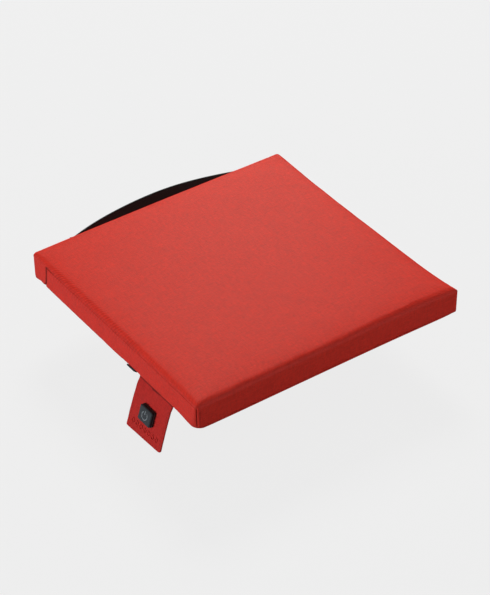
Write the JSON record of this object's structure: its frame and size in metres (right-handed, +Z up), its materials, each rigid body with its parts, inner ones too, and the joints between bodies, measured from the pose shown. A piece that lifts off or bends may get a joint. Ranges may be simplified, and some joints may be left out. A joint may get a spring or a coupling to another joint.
{
  "type": "heated seat cushion",
  "caption": "Thin square box cushion in a zipped canvas cover, with a bowed webbing carry handle on one side and a fabric tab that carries a push button below another.",
  "frame": {"origin": "centre of the cushion's flat bottom face", "axes": "+Z up out of the seat, +Y towards the carry handle, -X towards the zip and the button tab"},
  "size_m": [0.4397, 0.4263, 0.1185],
  "materials": {
    "cover": "plain-weave canvas, coated, soft sheen",
    "tab_cloth": "the cover's canvas in two plies, top-stitched",
    "webbing": "ribbed polyester webbing, matte",
    "zip_tape": "woven zip tape",
    "zip_teeth": "moulded nylon teeth",
    "zip_metal": "black enamelled die casting",
    "foam": "open-cell polyurethane foam",
    "felt": "needled polyester felt",
    "wire": "silicone-sleeved heating wire",
    "cable": "PVC cable jacket",
    "button_shell": "fine-textured black moulding",
    "button_face": "soft-touch charcoal moulding with raised mark",
    "board": "solder-masked circuit board",
    "lens": "diffusing lens",
    "metal": "plated steel",
    "battery": "textured moulding",
    "cell": "aluminium-laminate pouch",
    "stiffener": "polypropylene sheet"
  },
  "bodies": {
    "cushion": {"cover_top": "cover", "cover_bottom": "cover", "zip_side_panel": "cover", "comfort_foam": "foam", "core_foam": "foam", "heater_felt": "felt", "heater_wire": "wire", "thermostat": "metal", "zip_tape_upper": "zip_tape", "zip_tape_lower": "zip_tape", "zip_teeth_upper": "zip_teeth", "zip_teeth_lower": "zip_teeth", "zip_stops": "zip_metal", "handle_end_left": "webbing", "handle_end_right": "webbing", "tab_lead": "cable", "battery_case_lower": "battery", "battery_case_upper": "battery", "battery_cells": "cell", "battery_board": "board", "battery_usb_port": "metal", "battery_pocket": "zip_tape", "battery_plug": "cable", "battery_lead": "cable", "heater_lead": "cable"},
    "tab": {"tab_front_cloth": "tab_cloth", "tab_back_cloth": "tab_cloth", "tab_core": "stiffener", "tab_flat_cable": "cable", "button_housing": "button_shell", "control_board": "board", "tact_switch": "metal", "status_led": "lens", "button_back_plate": "button_shell", "housing_screws": "metal"},
    "button": {"button_cap": "button_face"},
    "zip_carriage": {"zip_slider": "zip_metal"},
    "zip_tag": {"zip_pull": "zip_metal"},
    "handle": {"handle_loop": "webbing"}
  },
  "joints": [
    {"name": "tab_fold", "type": "hinge", "parent": "cushion", "child": "tab", "pos_m": [-0.2065, -0.1005, -0.0014], "axis": [0, 1, 0], "range_deg": [-100, 100]},
    {"name": "button_press", "type": "slide", "parent": "tab", "child": "button", "axis": [0.9563, 0, -0.2924], "range_m": [0, 0.0006], "stiffness_N_per_m": 4000},
    {"name": "zip_run", "type": "slide", "parent": "cushion", "child": "zip_carriage", "axis": [0, 1, 0], "range_m": [0, 0.185]},
    {"name": "pull_swing", "type": "hinge", "parent": "zip_carriage", "child": "zip_tag", "pos_m": [-0.2082, -0.053, 0.0018], "axis": [-0.7071, 0, 0.7071], "range_deg": [0, 115]},
    {"name": "handle_swing", "type": "hinge", "parent": "cushion", "child": "handle", "pos_m": [0, 0.2, 0.026], "axis": [1, 0, 0], "range_deg": [-35, 35]}
  ]
}
